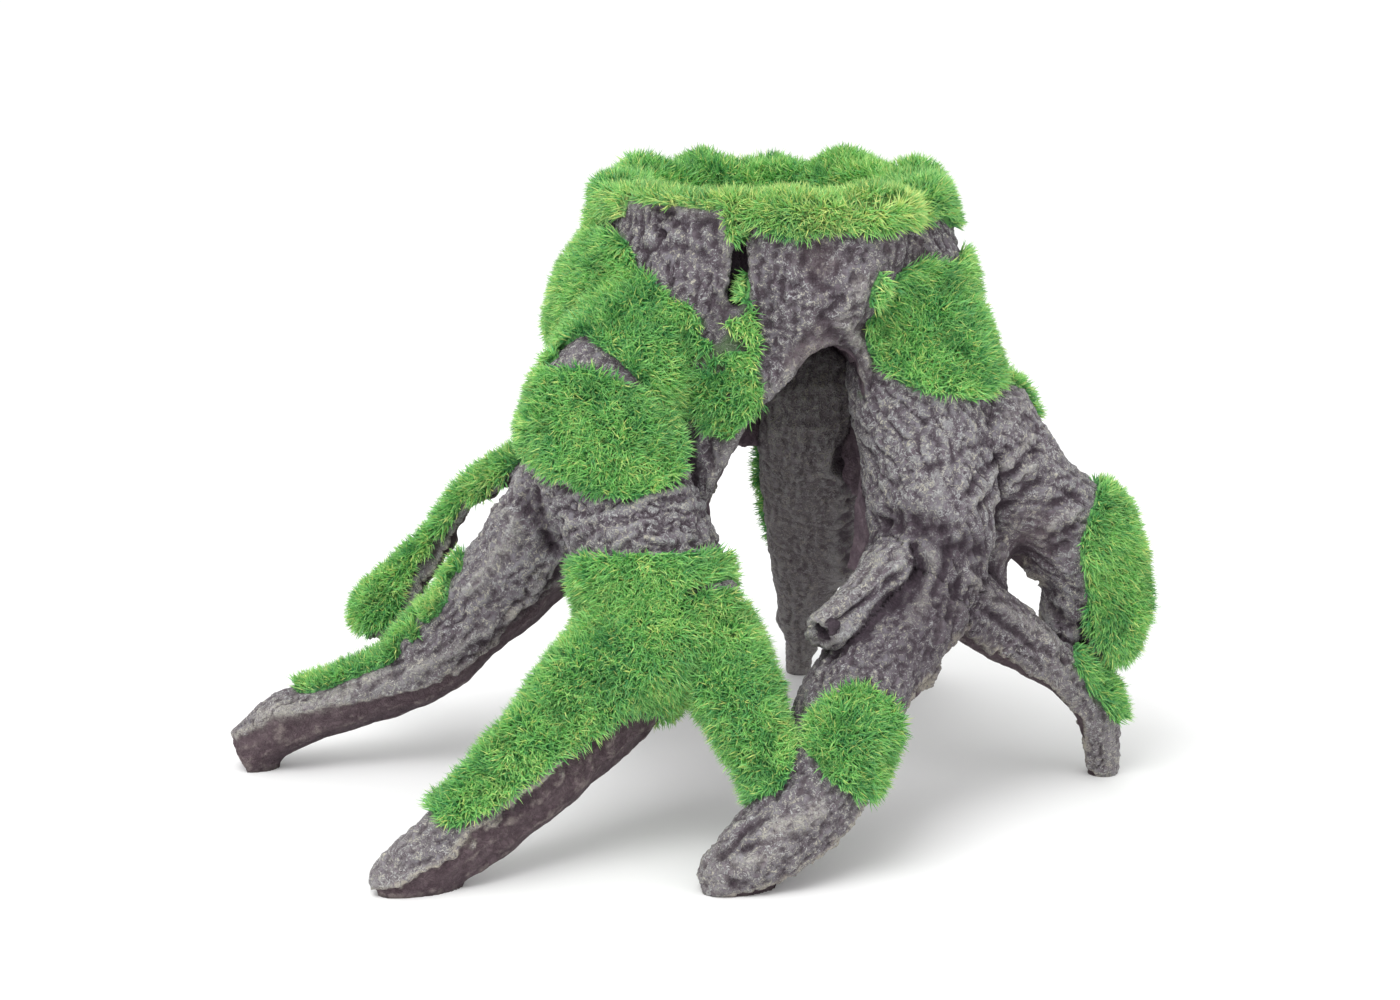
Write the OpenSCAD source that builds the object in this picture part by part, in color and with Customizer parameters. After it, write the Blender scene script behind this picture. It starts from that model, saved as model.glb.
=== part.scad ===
// Cave ornament in the form of a hollow tree stump on splayed roots.
// Millimetres. +X to the viewer's right, +Y away from the viewer, +Z up.
// The soles of the roots stand on z = 0, and the origin is under the middle
// of the bounding box.

/* [Crown] */
// Height of the crown rim above the floor
crown_h = 178; // [170:1:186]
// Half-width of the crown, left to right
crown_rx = 49; // [45:1:53]
// Half-depth of the crown, front to back
crown_ry = 43; // [39:1:47]
// Depth of the dish in the top of the crown
dish_depth = 8; // [4:1:12]

/* [Trunk] */
// Wall thickness of the hollow trunk
wall_t = 9; // [7:1:12]
// Height of the top of the front arch
arch_top = 139; // [128:1:142]

/* [Roots] */
// Thickness of the roots, as a factor
root_fat = 1; // [0.9:0.05:1.1]

/* [Moss] */
// Thickness of the moss mats
moss_t = 3; // [2:0.5:4]

/* [Hidden] */

// shift that puts the middle of the bounding box over the origin
shift = [5.1, -0.8, 0];
seat_z = 103;     // the trunk stands on the roots at this height
big = 400;
ring_n = 14;      // corners of a root's cross-section
sub = 2;          // cross-sections per control point

bark = "#6b6066";
moss = "#5cae3c";

// ---- centre lines: [x, y, z, half-width, half-height] ----------------------
p_front_left = [
    [-10, -26, 156, 8, 8], [-14, -28, 146, 14, 14], [-21, -33, 133, 18, 18], [-28, -41, 115, 22, 22],
    [-20, -51,  94, 20, 20], [-13, -59,  77, 21, 18], [-14, -66,  62, 21, 17],
    [-26, -74,  46, 12, 18], [-42, -85,  30, 10, 16], [-60, -96,  16,  9, 12],
    [-75, -102,  7,  8, 10], [-85, -104,  3,  6,  6], [-87, -104, 2, 3, 3]
];
p_fork = [
    [-2, -64,  72, 13, 13], [4, -71,  58, 11, 11], [12, -80,  44,  9,  9],
    [19, -88,  32,  8,  8], [24, -94,  22,  8,  7]
];
p_right = [
    [62, -14, 156, 8, 8], [62, -18, 144, 17, 16], [64, -24, 126, 22, 20], [66, -32, 104, 20, 19],
    [66, -40,  84, 18, 17], [65, -45,  70, 16, 15], [61, -50, 62, 11, 11]
];
p_right_upper = [
    [74, -22, 120, 14, 15], [78, -22, 112, 19, 19], [84, -21, 104, 17, 18], [96, -18,  89, 15, 18],
    [112, -12,  74, 14, 17], [118,  -8,  58, 11, 15], [120,  -8,  44,  8, 9],
    [119, -8, 38, 5, 5]
];
p_knob = [
    [112, -14, 64, 5, 5], [109, -13, 58, 9, 8], [109, -12, 51, 8, 7], [111, -11, 44, 5, 5]
];
p_web = [
    [88, -22, 82, 8, 8], [87, -26, 73, 7, 8], [86, -29, 65, 5, 5]
];
p_right_lower = [
    [70, -43,  68, 12, 12], [87, -32,  55,  8, 11], [102, -22,  41,  7,  8],
    [114, -12,  31,  6,  9], [121,  -6,  16,  6,  7], [123,  -3,   5,  5,  5],
    [123, -2, -1, 5, 5]
];
p_front_right = [
    [64, -47,  68, 16, 15], [54, -57,  56, 15, 15], [44, -69,  45, 14, 14],
    [37, -81,  34, 15, 13], [31, -91,  23, 13, 13], [20, -98,  13, 12, 12],
    [9, -102,  6,   8,  9], [3, -103,  3,  6,  7], [0, -103, 2, 3, 4]
];
p_stub = [
    [62, -44,  82, 11, 10], [49, -56,  73,  8,  9], [39, -67,  68,  7,  8],
    [32, -74,  65,  6,  7]
];
p_left_rear = [
    [-26,  6, 112, 8, 8], [-31,  6, 100, 13, 16], [-40,  6,  84, 13, 18], [-53,  6,  65, 13, 16],
    [-69,  5,  46, 12, 14], [-89,  4,  28, 11, 11], [-107,  3,  21, 10, 10],
    [-126,  3,  14, 10, 10], [-136,  3,   7,  9,  9], [-141, 3, 3, 7, 6]
];
p_left_ridge = [
    [-36, 12,  67,  6,  7], [-47, 13, 55,  8,  8], [-62, 11,  40,  7,  6],
    [-80,  8,  26,  7,  5], [-97, 5, 17, 5, 4]
];
p_twig = [
    [-36, 14, 95, 8, 8], [-50, 17,  92,  6,  6], [-61, 20,  87,  5,  5],
    [-71, 24,  80,  4,  4], [-79, 27,  68,  4,  4], [-88, 28,  57,  4,  5],
    [-96, 25,  48,  7,  6], [-99, 21, 43, 7, 6], [-98, 18, 38, 4, 3]
];
p_rear = [
    [36,  34, 127,  9,  6], [36,  33, 114, 18, 11], [35,  41,  93, 17, 13],
    [35,  60,  68, 15, 12], [36,  80,  44, 12, 11], [35,  96,  22,  9,  9],
    [34, 105,   6,  5,  6], [34, 107,  -1,  5,  5]
];
p_rear_right = [
    [60,  28, 122,  7,  6], [61,  30, 110, 13, 11], [62,  49,  79, 12, 13],
    [66,  76,  45, 11, 11], [66,  96,  19,  8,  9], [66, 106,   4,  5,  5],
    [66, 107,  -1,  5,  5]
];
p_rear_left = [
    [-1,  32, 122,  8,  6], [-3,  33, 110, 14, 11], [-9,  52,  75, 13, 13],
    [-15,  76,  43, 11, 11], [-19,  96,  18,  9,  9], [-21, 106,   4,  5,  5],
    [-21, 107,  -1,  5,  5]
];

// trunk sections: [z, centre x, centre y, half-width, half-depth]
t_out = [
    [ 70, 18,  0, 50, 42], [ 84, 18,  0, 53, 44], [100, 17,  0, 56, 45],
    [118, 17,  0, 58, 46], [136, 18,  0, 60, 46], [150, 19,  0, 60, 46],
    [162, 21,  0, 55, 45], [172, 21,  0, crown_rx + 1, crown_ry + 1],
    [crown_h, 21, 0, crown_rx, crown_ry]
];

// ---- functions ---------------------------------------------------------------
// Catmull-Rom point between b and c
function cr(a, b, c, d, t) =
    0.5 * ((2*b) + (c - a)*t + (2*a - 5*b + 4*c - d)*t*t
        + (3*b - a - 3*c + d)*t*t*t);
function at(p, i) = p[max(0, min(len(p) - 1, i))];
function smooth(p, k) = [
    for (i = [0 : len(p) - 2]) for (j = [0 : k - 1])
        cr(at(p, i-1), at(p, i), at(p, i+1), at(p, i+2), j / k),
    p[len(p) - 1]
];
function pos(q) = [q[0], q[1], q[2]];
function dir(p, i) = pos(at(p, i+1)) - pos(at(p, i-1));

// ---- building blocks ---------------------------------------------------------
// one thin elliptical plate, square to the direction d
module ring(q, d, g) {
    translate(pos(q))
        rotate([0, acos(d[2] / norm(d)), atan2(d[1], d[0])])
            linear_extrude(0.05, center = true)
                scale([q[4] * root_fat + g, q[3] * root_fat + g])
                    circle(1, $fn = ring_n);
}

// a root: a chain of hulls from plate to plate, g thicker all round
module limb(path, g = 0, k = sub) {
    p = smooth(path, k);
    for (i = [0 : len(p) - 2])
        hull() {
            ring(p[i], dir(p, i), g);
            ring(p[i+1], dir(p, i+1), g);
        }
}

module t_plate(s, g, n = 28) {
    translate([s[1], s[2], s[0]])
        linear_extrude(0.05, center = true)
            scale([s[3] + g, s[4] + g]) circle(1, $fn = n);
}

// outside of the trunk, filled
module envelope(g = 0) {
    for (i = [0 : len(t_out) - 2])
        hull() { t_plate(t_out[i], g); t_plate(t_out[i+1], g); }
    if (g > 0)
        hull() {
            t_plate(t_out[len(t_out)-1], g);
            translate([0, 0, g]) t_plate(t_out[len(t_out)-1], g - 2);
        }
}

// the cave in the trunk
module cavity() {
    w = wall_t;
    s = [
        [ 60, 18,  0, 49 - w, 41 - w], [ 82, 18,  0, 52 - w, 43 - w],
        [104, 17,  0, 55 - w, 45 - w], [126, 20, 0, 50 - w, 43 - w],
        [144, 26, -2, 38 - w, 35 - w], [156, 28, -3, 24 - w, 24 - w]
    ];
    for (i = [0 : len(s) - 2])
        hull() { t_plate(s[i], 0); t_plate(s[i+1], 0); }
}

// one arch between two roots: a rounded tunnel along the direction az
module arch(az, half_w, top, base = 50, cx = 18, cy = 0, r0 = 22, r1 = 80) {
    translate([cx, cy, 0]) rotate([0, 0, az])
        for (r = [r0, (r0 + r1) / 2])
            hull() for (x = [r, r + (r1 - r0) / 2]) translate([x, 0, 0]) {
                translate([0, 0, top - half_w * 0.9])
                    scale([0.2, half_w, half_w * 0.9]) sphere(1, $fn = 14);
                translate([0, 0, base])
                    scale([0.2, half_w * 1.1, 4]) sphere(1, $fn = 14);
            }
}

module arches() {
    // front arch, leaning to the right at its top
    hull() {
        translate([25, -56, 50]) scale([28, 34, 10]) sphere(1, $fn = 16);
        translate([25, -50, 88]) scale([27, 34, 14]) sphere(1, $fn = 16);
    }
    hull() {
        translate([25, -50, 88]) scale([27, 34, 14]) sphere(1, $fn = 16);
        translate([31, -44, 110]) scale([19, 28, 16]) sphere(1, $fn = 16);
    }
    hull() {
        translate([31, -44, 110]) scale([19, 28, 16]) sphere(1, $fn = 16);
        translate([36, -40, arch_top - 12]) scale([10, 26, 12]) sphere(1, $fn = 14);
    }
    arch(-160, 20, 86, 30);   // left, between the two left roots
    arch(140, 20, 92, 30);    // rear left
    arch(103, 9, 94, 30);     // rear, left of the rear root
    arch(57, 6, 98, 30);      // rear, right of the rear root
    arch(8, 24, 92, 30);      // right
    // the back wall ends at the shoulders of the rear roots
    translate([18, 47, 59]) scale([64, 30, 38]) sphere(1, $fn = 28);
}

// bumps and hollows on the outside of the trunk
module stack(s, g = 0, n = 20) {
    for (i = [0 : len(s) - 2])
        hull() { t_plate(s[i], g, n); t_plate(s[i+1], g, n); }
}
module buttress(g = 0) {
    stack([
        [crown_h, 35, -30, 24, 20], [164, 34, -32, 24, 20],
        [150, 32, -33, 21, 18], [138, 28, -34, 17, 14], [126, 23, -33, 10, 11]
    ], g);
}
module recess() {
    // bare wedge to the left of the buttress
    hull() {
        translate([-8, -56, 178]) scale([12, 14, 8]) sphere(1, $fn = 14);
        translate([8, -56, 178]) scale([8, 14, 8]) sphere(1, $fn = 14);
        translate([7, -55, 152]) scale([7, 10, 7]) sphere(1, $fn = 12);
    }
    // slot beside the buttress
    hull() {
        translate([12, -44, 176]) scale([3, 10, 4]) sphere(1, $fn = 10);
        translate([11, -45, 156]) scale([3, 8, 4]) sphere(1, $fn = 10);
    }
    // knot hole
    translate([-11, -38, 171]) rotate([70, 0, 0])
        cylinder(h = 12, r = 2.6, center = true, $fn = 12);
}

module dish(g = 0) {
    hull() {
        translate([21, 0, crown_h + 6])
            scale([crown_rx - 4 - g, crown_ry - 4 - g, 1]) sphere(1, $fn = 20);
        translate([21, 0, crown_h - dish_depth + g])
            scale([crown_rx - 18, crown_ry - 16, 1]) sphere(1, $fn = 20);
    }
}

module above_floor(z = 0) {
    translate([-big/2, -big/2, z]) cube([big, big, big]);
}

// solid of the trunk wall before the roots are fitted to it
module trunk_raw() {
    difference() {
        union() { envelope(); buttress(); }
        cavity();
        arches();
        recess();
        dish();
        // seats of the roots
        intersection() {
            union() {
                limb(p_front_left); limb(p_right); limb(p_right_upper);
                limb(p_left_rear); limb(p_rear); limb(p_rear_right);
                limb(p_rear_left);
            }
            translate([-big/2, -big/2, 0]) cube([big, big, seat_z]);
        }
    }
}
module trunk_cut() { trunk_raw(); cavity(); }
module trunk_fit() { trunk_raw(); }
module cave_top() {
    intersection() {
        cavity();
        translate([-big/2, -big/2, seat_z - 1]) cube([big, big, big]);
    }
}

module placed() { translate(shift) children(); }

// ---- cast pieces -------------------------------------------------------------
module trunk_shell() {
    color(bark) placed() render() trunk_raw();
}

module root_front_left() {
    color(bark) placed() render() difference() {
        intersection() { limb(p_front_left); above_floor(); }
        trunk_fit();
        cave_top();
    }
}

module root_front_left_fork() {
    color(bark) placed() render() difference() {
        intersection() { limb(p_fork); above_floor(); }
        limb(p_front_left);
        limb(p_front_right);
        trunk_fit();
    }
}

module root_right() {
    color(bark) placed() render() difference() {
        limb(p_right);
        trunk_fit();
    }
}

module root_right_upper() {
    color(bark) placed() render() difference() {
        union() { limb(p_right_upper); limb(p_knob); limb(p_web); }
        limb(p_right);
        limb(p_right_lower);
        trunk_fit();
    }
}

module root_right_lower() {
    color(bark) placed() render() difference() {
        intersection() { limb(p_right_lower); above_floor(); }
        limb(p_right);
        limb(p_front_right);
        trunk_fit();
    }
}

module root_front_right() {
    color(bark) placed() render() difference() {
        intersection() { limb(p_front_right); above_floor(); }
        limb(p_right);
        trunk_fit();
    }
}

module stub_broken() {
    color(bark) placed() render() difference() {
        limb(p_stub, 0, 3);
        limb(p_right);
        limb(p_front_right);
        trunk_fit();
        // hollow in the broken end
        translate([33, -74, 67]) scale([4, 4, 4]) sphere(1, $fn = 12);
    }
}

module root_left_rear() {
    color(bark) placed() render() difference() {
        intersection() {
            union() { limb(p_left_rear); limb(p_left_ridge); }
            above_floor();
        }
        limb(p_front_left);
        trunk_fit();
        above_floor(seat_z - 1);
    }
}

module twig_left() {
    color(bark) placed() render() difference() {
        limb(p_twig);
        limb(p_left_rear);
        limb(p_left_ridge);
        trunk_fit();
    }
}

module root_rear() {
    color(bark) placed() render() difference() {
        intersection() { limb(p_rear); above_floor(); }
        trunk_fit();
    }
}

module root_rear_right() {
    color(bark) placed() render() difference() {
        intersection() { limb(p_rear_right); above_floor(); }
        limb(p_rear);
        trunk_fit();
    }
}

module root_rear_left() {
    color(bark) placed() render() difference() {
        intersection() { limb(p_rear_left); above_floor(); }
        limb(p_rear);
        trunk_fit();
    }
}

// ---- moss mats ---------------------------------------------------------------
module blob(c, r, rot = [0, 0, 0], n = 16) {
    translate(c) rotate(rot) scale(r) sphere(1, $fn = n);
}

// all the wood that a mat may touch
module wood() {
    trunk_cut();
    limb(p_front_left); limb(p_fork); limb(p_right); limb(p_right_upper);
    limb(p_right_lower); limb(p_front_right); limb(p_left_rear);
    limb(p_left_ridge); limb(p_twig); limb(p_rear); limb(p_rear_right);
    limb(p_rear_left); limb(p_knob); limb(p_web);
}

module moss_crown() {
    color(moss) placed() render() difference() {
        intersection() {
            union() {
                envelope(moss_t);
                buttress(moss_t);
                // tussocks round the rim
                for (i = [0 : 10])
                    translate([21 + crown_rx * 0.9 * cos(i * 32.7 + 10),
                               crown_ry * 0.9 * sin(i * 32.7 + 10),
                               crown_h + 1])
                        scale([9, 8, 3 + (i * 7 % 3)]) sphere(1, $fn = 10);
            }
            translate([-big/2, -big/2, crown_h - 9]) cube([big, big, 60]);
        }
        trunk_raw();
        dish(moss_t);
        cavity();
        limb(p_right);
        // bare bark under the rim at the front left
        translate([-22, -big, 0]) cube([34, big - 24, crown_h]);
    }
}

// left flank of the trunk, and a tongue of it across the front
module left_patch() {
    blob([-36, -14, 154], [24, 38, 20]);
    hull() {
        blob([-22, -40, 148], [12, 16, 14]);
        blob([-6, -46, 132], [12, 16, 11]);
    }
    hull() {
        blob([-6, -46, 132], [12, 16, 11]);
        blob([8, -48, 126], [10, 12, 14]);
    }
    blob([12, -46, 138], [5, 10, 11]);
}
module moss_shoulder_left() {
    color(moss) placed() render() difference() {
        intersection() {
            union() { envelope(moss_t); limb(p_front_left, moss_t); }
            left_patch();
            translate([-big/2, -big/2, 0]) cube([big, big, crown_h - 9]);
        }
        wood();
        arches();
    }
}

module moss_knee_left() {
    color(moss) placed() render() difference() {
        intersection() {
            limb(p_front_left, moss_t);
            hull() {
                blob([-31, -50, 118], [24, 30, 17], [0, 12, 0]);
                blob([-23, -56, 113], [20, 26, 14], [0, 10, 0]);
            }
        }
        wood();
        left_patch();
    }
}

module moss_shin_left() {
    color(moss) placed() render() difference() {
        intersection() {
            limb(p_front_left, moss_t);
            union() {
                hull() {
                    blob([-12, -70, 80], [26, 26, 8]);
                    blob([-14, -78, 58], [26, 26, 14]);
                }
                hull() {
                    blob([-18, -80, 62], [20, 20, 12]);
                    blob([-66, -98, 24], [8, 14, 6]);
                }
            }
        }
        wood();
        limb(p_fork, moss_t);
        blob([4, -53, 51], [12, 14, 12]);
    }
}

module moss_fork() {
    color(moss) placed() render() difference() {
        intersection() {
            limb(p_fork, moss_t);
            union() {
                blob([6, -82, 54], [22, 18, 30], [0, 30, 0]);
                blob([20, -92, 32], [12, 14, 12]);
            }
        }
        wood();
    }
}

module moss_shoulder_right() {
    color(moss) placed() render() difference() {
        intersection() {
            union() { envelope(moss_t); limb(p_right, moss_t); limb(p_right_upper, moss_t); }
            union() {
                blob([68, -30, 141], [25, 26, 20], [0, 24, 0]);
                hull() {
                    blob([80, -10, 146], [16, 20, 16]);
                    blob([92, -4, 116], [9, 16, 10]);
                }
            }
            translate([-big/2, -big/2, 0]) cube([big, big, crown_h - 9]);
        }
        wood();
        arches();
    }
}

module moss_knee_right() {
    color(moss) placed() render() difference() {
        intersection() {
            limb(p_right_upper, moss_t);
            hull() {
                blob([122, -14, 77], [16, 22, 18]);
                blob([126, -12, 54], [12, 18, 16]);
            }
        }
        wood();
    }
}

module moss_ankle_right() {
    color(moss) placed() render() difference() {
        intersection() {
            limb(p_right_lower, moss_t);
            hull() {
                blob([113, -14, 40], [7, 10, 7]);
                blob([127, -6, 26], [7, 10, 9]);
            }
        }
        wood();
        limb(p_right_upper, moss_t);
    }
}

module moss_ankle_front() {
    color(moss) placed() render() difference() {
        intersection() {
            limb(p_front_right, moss_t);
            blob([42, -88, 37], [15, 18, 17], [0, 20, 0]);
        }
        wood();
        limb(p_fork, moss_t);
    }
}

module moss_strip_left() {
    color(moss) placed() render() difference() {
        intersection() {
            limb(p_left_rear, moss_t);
            union() {
                hull() {
                    blob([-72, 6, 60], [8, 9, 7]);
                    blob([-90, 4, 42], [10, 9, 8]);
                }
                hull() {
                    blob([-90, 4, 42], [10, 9, 8]);
                    blob([-120, 3, 24], [6, 7, 6]);
                }
            }
        }
        wood();
    }
}

module moss_twig() {
    color(moss) placed() render() difference() {
        intersection() {
            limb(p_twig, moss_t);
            union() {
                hull() {
                    blob([-62, 18, 96], [9, 12, 9]);
                    blob([-92, 22, 63], [9, 12, 9]);
                }
                blob([-98, 20, 50], [16, 16, 13]);
            }
        }
        wood();
        limb(p_left_rear, moss_t);
    }
}

// back of the trunk
module moss_back() {
    color(moss) placed() render() difference() {
        intersection() {
            envelope(moss_t);
            hull() {
                blob([24, 52, 142], [34, 22, 20]);
                blob([30, 52, 122], [24, 22, 18]);
            }
            above_floor(seat_z + 3);
        }
        wood();
        arches();
    }
}

// top of the rear root, over its bend
module moss_rear() {
    color(moss) placed() render() difference() {
        intersection() {
            limb(p_rear, moss_t);
            hull() {
                blob([29, 66, 92], [19, 22, 18]);
                blob([32, 88, 60], [13, 16, 14]);
            }
        }
        wood();
        envelope(moss_t);
    }
}

module moss_rear_right() {
    color(moss) placed() render() difference() {
        intersection() {
            limb(p_rear_right, moss_t);
            hull() {
                blob([75, 57, 91], [13, 14, 14]);
                blob([76, 76, 62], [12, 14, 14]);
            }
        }
        wood();
    }
}

trunk_shell();
root_front_left();
root_front_left_fork();
root_right();
root_right_upper();
root_right_lower();
root_front_right();
stub_broken();
root_left_rear();
twig_left();
root_rear();
root_rear_right();
root_rear_left();
moss_crown();
moss_shoulder_left();
moss_knee_left();
moss_shin_left();
moss_fork();
moss_shoulder_right();
moss_knee_right();
moss_ankle_right();
moss_ankle_front();
moss_strip_left();
moss_twig();
moss_back();
moss_rear();
moss_rear_right();
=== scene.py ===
import math

import bpy
import numpy as np
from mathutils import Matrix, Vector
from mathutils.bvhtree import BVHTree


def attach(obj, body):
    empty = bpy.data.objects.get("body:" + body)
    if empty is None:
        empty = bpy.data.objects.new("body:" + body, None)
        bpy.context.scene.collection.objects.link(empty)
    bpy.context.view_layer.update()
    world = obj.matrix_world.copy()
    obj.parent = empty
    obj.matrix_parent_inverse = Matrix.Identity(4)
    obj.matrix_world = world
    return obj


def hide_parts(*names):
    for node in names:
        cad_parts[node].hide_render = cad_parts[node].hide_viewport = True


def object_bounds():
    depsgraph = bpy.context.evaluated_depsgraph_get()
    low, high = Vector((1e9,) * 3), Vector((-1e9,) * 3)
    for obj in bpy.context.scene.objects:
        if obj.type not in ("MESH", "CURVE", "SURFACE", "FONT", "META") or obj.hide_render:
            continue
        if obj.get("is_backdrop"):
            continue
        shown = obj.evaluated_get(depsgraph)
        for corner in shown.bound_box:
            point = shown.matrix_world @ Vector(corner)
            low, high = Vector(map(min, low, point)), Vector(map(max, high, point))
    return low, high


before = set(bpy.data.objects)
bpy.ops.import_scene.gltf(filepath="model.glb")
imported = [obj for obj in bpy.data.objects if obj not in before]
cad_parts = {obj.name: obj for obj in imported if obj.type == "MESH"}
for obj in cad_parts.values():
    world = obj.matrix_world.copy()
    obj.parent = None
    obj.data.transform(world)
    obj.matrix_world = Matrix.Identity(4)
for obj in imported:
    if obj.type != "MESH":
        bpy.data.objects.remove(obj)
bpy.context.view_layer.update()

# The mesh work below is in millimetres, and goes to metres when a piece is made.
VOXEL = 0.85
BLADES_PER_MM2 = 4.4
MAX_BLADES = 19000          # in one piece

NODES = sorted(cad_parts)
WOOD = [n for n in NODES if not n.startswith("moss")]
MOSS = [n for n in NODES if n.startswith("moss")]
SHIFT = np.array([5.1, -0.8, 0.0])

# Centre lines of the roots, the same as the CAD's: x, y, z in millimetres.
LINES = {
    "root_front_left": [[-10, -26, 156], [-14, -28, 146], [-21, -33, 133], [-28, -41, 115],
                        [-20, -51, 94], [-13, -59, 77], [-14, -66, 62], [-26, -74, 46],
                        [-42, -85, 30], [-60, -96, 16], [-75, -102, 7], [-85, -104, 3]],
    "root_front_left_fork": [[-2, -64, 72], [4, -71, 58], [12, -80, 44], [19, -88, 32],
                             [24, -94, 22]],
    "root_right": [[62, -14, 156], [62, -18, 144], [64, -24, 126], [66, -32, 104],
                   [66, -40, 84], [65, -45, 70], [61, -50, 62]],
    "root_right_upper": [[74, -22, 120], [78, -22, 112], [84, -21, 104], [97, -18, 90],
                         [112, -12, 74], [118, -8, 58], [120, -8, 44], [119, -8, 38]],
    "root_right_lower": [[70, -43, 68], [86, -33, 54], [102, -22, 42], [114, -12, 30],
                         [121, -6, 16], [123, -3, 5], [123, -2, -1]],
    "root_front_right": [[64, -47, 68], [54, -57, 56], [44, -69, 45], [37, -81, 34],
                         [31, -91, 23], [20, -98, 13], [9, -102, 6], [0, -103, 2]],
    "stub_broken": [[62, -44, 82], [49, -56, 73], [39, -67, 68], [32, -74, 65]],
    "root_left_rear": [[-26, 6, 112], [-31, 6, 100], [-40, 6, 84], [-53, 6, 65],
                       [-69, 5, 46], [-89, 4, 28], [-107, 3, 21], [-126, 3, 14],
                       [-141, 3, 3]],
    "twig_left": [[-36, 14, 95], [-50, 17, 92], [-61, 20, 87], [-71, 24, 80],
                  [-79, 27, 68], [-88, 28, 57], [-96, 25, 48], [-98, 18, 38]],
    "root_rear": [[36, 34, 127], [36, 33, 114], [35, 41, 93], [35, 60, 68], [36, 80, 44],
                  [35, 96, 22], [34, 107, -1]],
    "root_rear_right": [[60, 28, 122], [61, 30, 110], [62, 49, 79], [66, 76, 45],
                        [66, 96, 19], [66, 107, -1]],
    "root_rear_left": [[-1, 32, 122], [-3, 33, 110], [-9, 52, 75], [-15, 76, 43],
                       [-19, 96, 18], [-21, 107, -1]],
    "trunk_shell": [[18, 0, 60], [18, 0, 190]],
}
LINES = {k: np.array(v, float) + SHIFT for k, v in LINES.items()}

rng = np.random.default_rng(20260)


# ---- noise -------------------------------------------------------------------
GRAD = np.random.default_rng(7).normal(size=(512, 3))
GRAD /= np.linalg.norm(GRAD, axis=1)[:, None]


def cell(ix, iy, iz, seed):
    h = (ix.astype(np.uint32) * np.uint32(374761393)
         + iy.astype(np.uint32) * np.uint32(668265263)
         + iz.astype(np.uint32) * np.uint32(2246822519)
         + np.uint32((seed * 3266489917) & 0xFFFFFFFF))
    h = (h ^ (h >> np.uint32(13))) * np.uint32(1274126177)
    return h ^ (h >> np.uint32(16))


def noise(p, size, seed=0):
    """Gradient noise with features about size mm across, from about -1 to 1."""
    q = p / size
    i = np.floor(q).astype(np.int64)
    f = q - i
    u = f * f * f * (f * (f * 6 - 15) + 10)
    out = np.zeros(len(p))
    for dx in (0, 1):
        wx = u[:, 0] if dx else 1 - u[:, 0]
        for dy in (0, 1):
            wy = wx * (u[:, 1] if dy else 1 - u[:, 1])
            for dz in (0, 1):
                g = GRAD[cell(i[:, 0] + dx, i[:, 1] + dy, i[:, 2] + dz, seed) & np.uint32(511)]
                d = g[:, 0] * (f[:, 0] - dx) + g[:, 1] * (f[:, 1] - dy) + g[:, 2] * (f[:, 2] - dz)
                out += wy * (u[:, 2] if dz else 1 - u[:, 2]) * d
    return out * 1.7


def fbm(p, size, seed=0, octaves=3):
    out, a = np.zeros(len(p)), 1.0
    for k in range(octaves):
        out += a * noise(p, size / 2 ** k, seed + 11 * k)
        a *= 0.55
    return out / 1.6


def streak(p, t, size, length, seed=0, steps=7):
    """Noise drawn out along the direction t."""
    out = np.zeros(len(p))
    for k in np.linspace(-0.5, 0.5, steps):
        out += noise(p + t * (k * length), size, seed)
    return out / math.sqrt(steps) / 0.75


def ramp(x, a, b):
    u = np.clip((x - a) / (b - a), 0, 1)
    return u * u * (3 - 2 * u)


def unit(v):
    return v / np.maximum(np.linalg.norm(v, axis=1), 1e-9)[:, None]


# ---- meshes as arrays --------------------------------------------------------
def arrays_of(ob):
    me = ob.data
    v = np.empty(len(me.vertices) * 3, np.float32)
    me.vertices.foreach_get("co", v)
    me.calc_loop_triangles()
    t = np.empty(len(me.loop_triangles) * 3, np.int32)
    me.loop_triangles.foreach_get("vertices", t)
    return v.reshape(-1, 3).astype(float) * 1000, t.reshape(-1, 3)


def tree_of(v, f):
    return BVHTree.FromPolygons(v.tolist(), f.tolist())


def edges_of(quads):
    e = np.vstack([quads[:, [0, 1]], quads[:, [1, 2]], quads[:, [2, 3]], quads[:, [3, 0]]])
    e = np.sort(e, axis=1)
    return np.unique(e[:, 0].astype(np.int64) * (1 << 32) + e[:, 1])


class Graph:
    """Averages over the neighbours of each vertex."""

    def __init__(self, n, quads):
        key = edges_of(quads)
        a, b = (key >> 32).astype(np.int64), (key & 0xFFFFFFFF).astype(np.int64)
        src, dst = np.concatenate([a, b]), np.concatenate([b, a])
        order = np.argsort(src, kind="stable")
        self.dst = dst[order]
        self.deg = np.bincount(src, minlength=n)
        self.start = np.concatenate([[0], np.cumsum(self.deg)[:-1]])
        self.one = np.maximum(self.deg, 1)[:, None].astype(float)

    def mean(self, x):
        flat = x.ndim == 1
        y = x[:, None] if flat else x
        s = np.add.reduceat(y[self.dst], np.minimum(self.start, len(self.dst) - 1), axis=0)
        s = np.where(self.deg[:, None] > 0, s, y)
        s = s / self.one
        return s[:, 0] if flat else s

    def blur(self, x, times, share=0.6):
        for _ in range(times):
            x = x + share * (self.mean(x) - x)
        return x


def bodies_of(quads, least):
    """The faces that hang together in patches of at least that many."""
    used, flat = np.unique(quads, return_inverse=True)
    q = flat.reshape(-1, 4)
    mark = np.arange(len(used))
    for _ in range(300):
        low = mark[q].min(1)
        new = mark.copy()
        for k in range(4):
            np.minimum.at(new, q[:, k], low)
        new = new[new]
        if (new == mark).all():
            break
        mark = new
    face = mark[q[:, 0]]
    size = np.bincount(face, minlength=len(used))
    return quads[size[face] >= least]


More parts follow.
